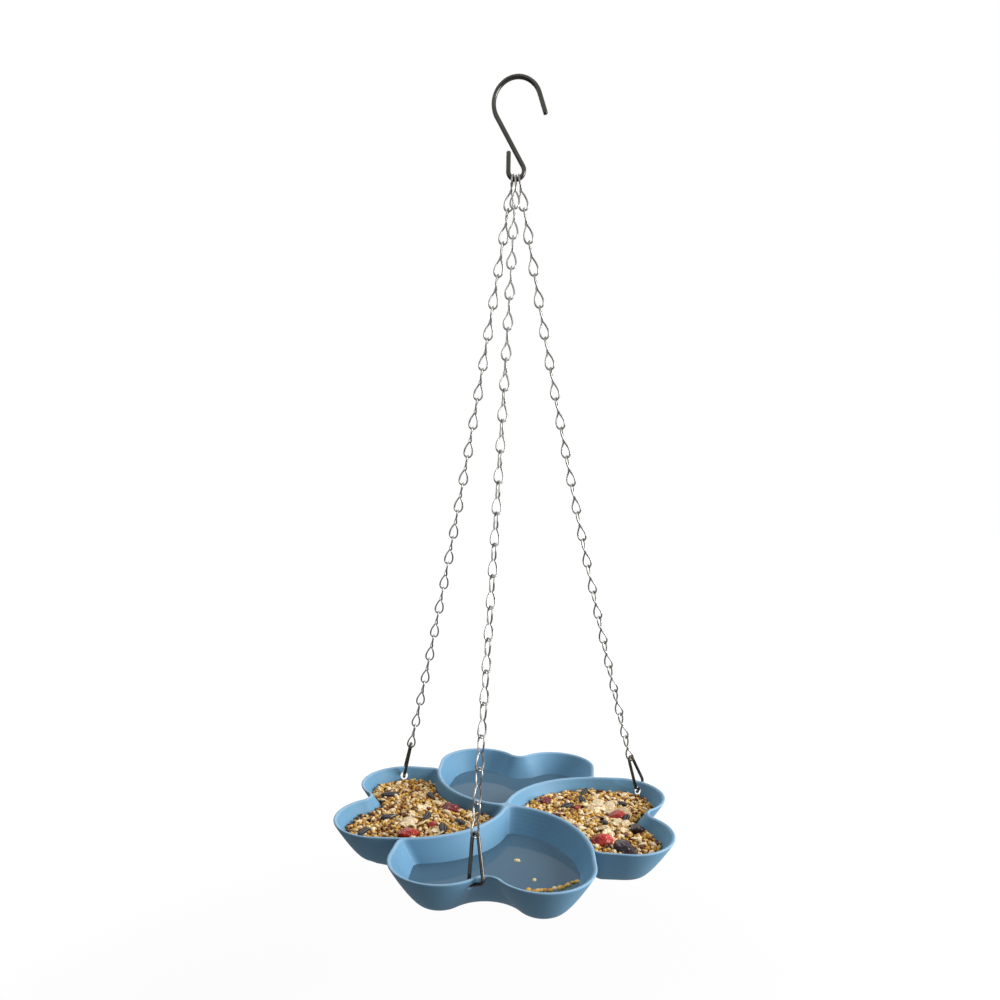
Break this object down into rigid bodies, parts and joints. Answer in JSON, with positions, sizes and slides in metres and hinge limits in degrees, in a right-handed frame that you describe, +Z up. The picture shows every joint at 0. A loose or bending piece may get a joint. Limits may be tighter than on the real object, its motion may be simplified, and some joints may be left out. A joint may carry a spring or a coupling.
{
  "type": "hanging tray bird feeder",
  "caption": "Hanging bird feeder: a moulded tray of heart-shaped bowls set like a pinwheel, hung by wire chains and clips from a wire S-hook.",
  "frame": {"origin": "where a branch or rail bears in the S-hook's upper bend, at the wire's inner top", "axes": "+Z up along the line that the feeder hangs on, -Y towards the front bowl's notch, +X to the right bowl"},
  "size_m": [0.2492, 0.2492, 0.5389],
  "materials": {
    "tray_plastic": "satin moulded plastic, dusty blue",
    "hook_wire": "dark nickel-plated steel wire",
    "chain_wire": "bright nickel-plated steel wire"
  },
  "bodies": {
    "hook": {"s_hook": "hook_wire"},
    "top_links": {"front_link_01": "chain_wire", "left_link_01": "chain_wire", "right_link_01": "chain_wire"},
    "second_links": {"front_link_02": "chain_wire", "left_link_02": "chain_wire", "right_link_02": "chain_wire"},
    "hanging": {"front_link_03": "chain_wire", "front_link_04": "chain_wire", "front_link_05": "chain_wire", "front_link_06": "chain_wire", "front_link_07": "chain_wire", "front_link_08": "chain_wire", "front_link_15": "chain_wire", "front_link_16": "chain_wire", "front_link_17": "chain_wire", "front_link_18": "chain_wire", "front_link_19": "chain_wire", "front_link_20": "chain_wire", "front_link_21": "chain_wire", "front_links_09_10": "chain_wire", "front_links_11_12": "chain_wire", "front_links_13_14": "chain_wire", "left_link_03": "chain_wire", "left_link_04": "chain_wire", "left_link_05": "chain_wire", "left_link_06": "chain_wire", "left_link_07": "chain_wire", "left_link_08": "chain_wire", "left_link_15": "chain_wire", "left_link_16": "chain_wire", "left_link_17": "chain_wire", "left_link_18": "chain_wire", "left_link_19": "chain_wire", "left_link_20": "chain_wire", "left_link_21": "chain_wire", "left_links_09_10": "chain_wire", "left_links_11_12": "chain_wire", "left_links_13_14": "chain_wire", "right_link_03": "chain_wire", "right_link_04": "chain_wire", "right_link_05": "chain_wire", "right_link_06": "chain_wire", "right_link_07": "chain_wire", "right_link_08": "chain_wire", "right_link_15": "chain_wire", "right_link_16": "chain_wire", "right_link_17": "chain_wire", "right_link_18": "chain_wire", "right_link_19": "chain_wire", "right_link_20": "chain_wire", "right_link_21": "chain_wire", "right_links_09_10": "chain_wire", "right_links_11_12": "chain_wire", "right_links_13_14": "chain_wire", "tray": "tray_plastic"},
    "clip_front": {"front_clip": "hook_wire"},
    "clip_left": {"left_clip": "hook_wire"},
    "clip_right": {"right_clip": "hook_wire"}
  },
  "joints": [
    {"name": "sway", "type": "hinge", "parent": "hook", "child": "top_links", "pos_m": [0, 0, -0.05572], "axis": [0, 1, 0], "range_deg": [-15, 15]},
    {"name": "swing", "type": "hinge", "parent": "top_links", "child": "second_links", "pos_m": [0, -0.00075, -0.07943], "axis": [1, 0, 0], "range_deg": [-7, 7]},
    {"name": "twist", "type": "hinge", "parent": "second_links", "child": "hanging", "pos_m": [0, 0, -0.09972], "axis": [0, 0, 1], "range_deg": [-4, 4]},
    {"name": "front_clip_turn", "type": "hinge", "parent": "hanging", "child": "clip_front", "pos_m": [-0.01026, -0.1085, -0.51362], "axis": [0.7567, -0.5082, 0.4113], "range_deg": [-1, 1]},
    {"name": "right_clip_turn", "type": "hinge", "parent": "hanging", "child": "clip_right", "pos_m": [0.10485, 0.05937, -0.51362], "axis": [0.4213, 0.8048, 0.4181], "range_deg": [-1, 1]},
    {"name": "left_clip_turn", "type": "hinge", "parent": "hanging", "child": "clip_left", "pos_m": [-0.09654, 0.0629, -0.51362], "axis": [-0.146, 0.8982, 0.4146], "range_deg": [-1, 1]}
  ]
}
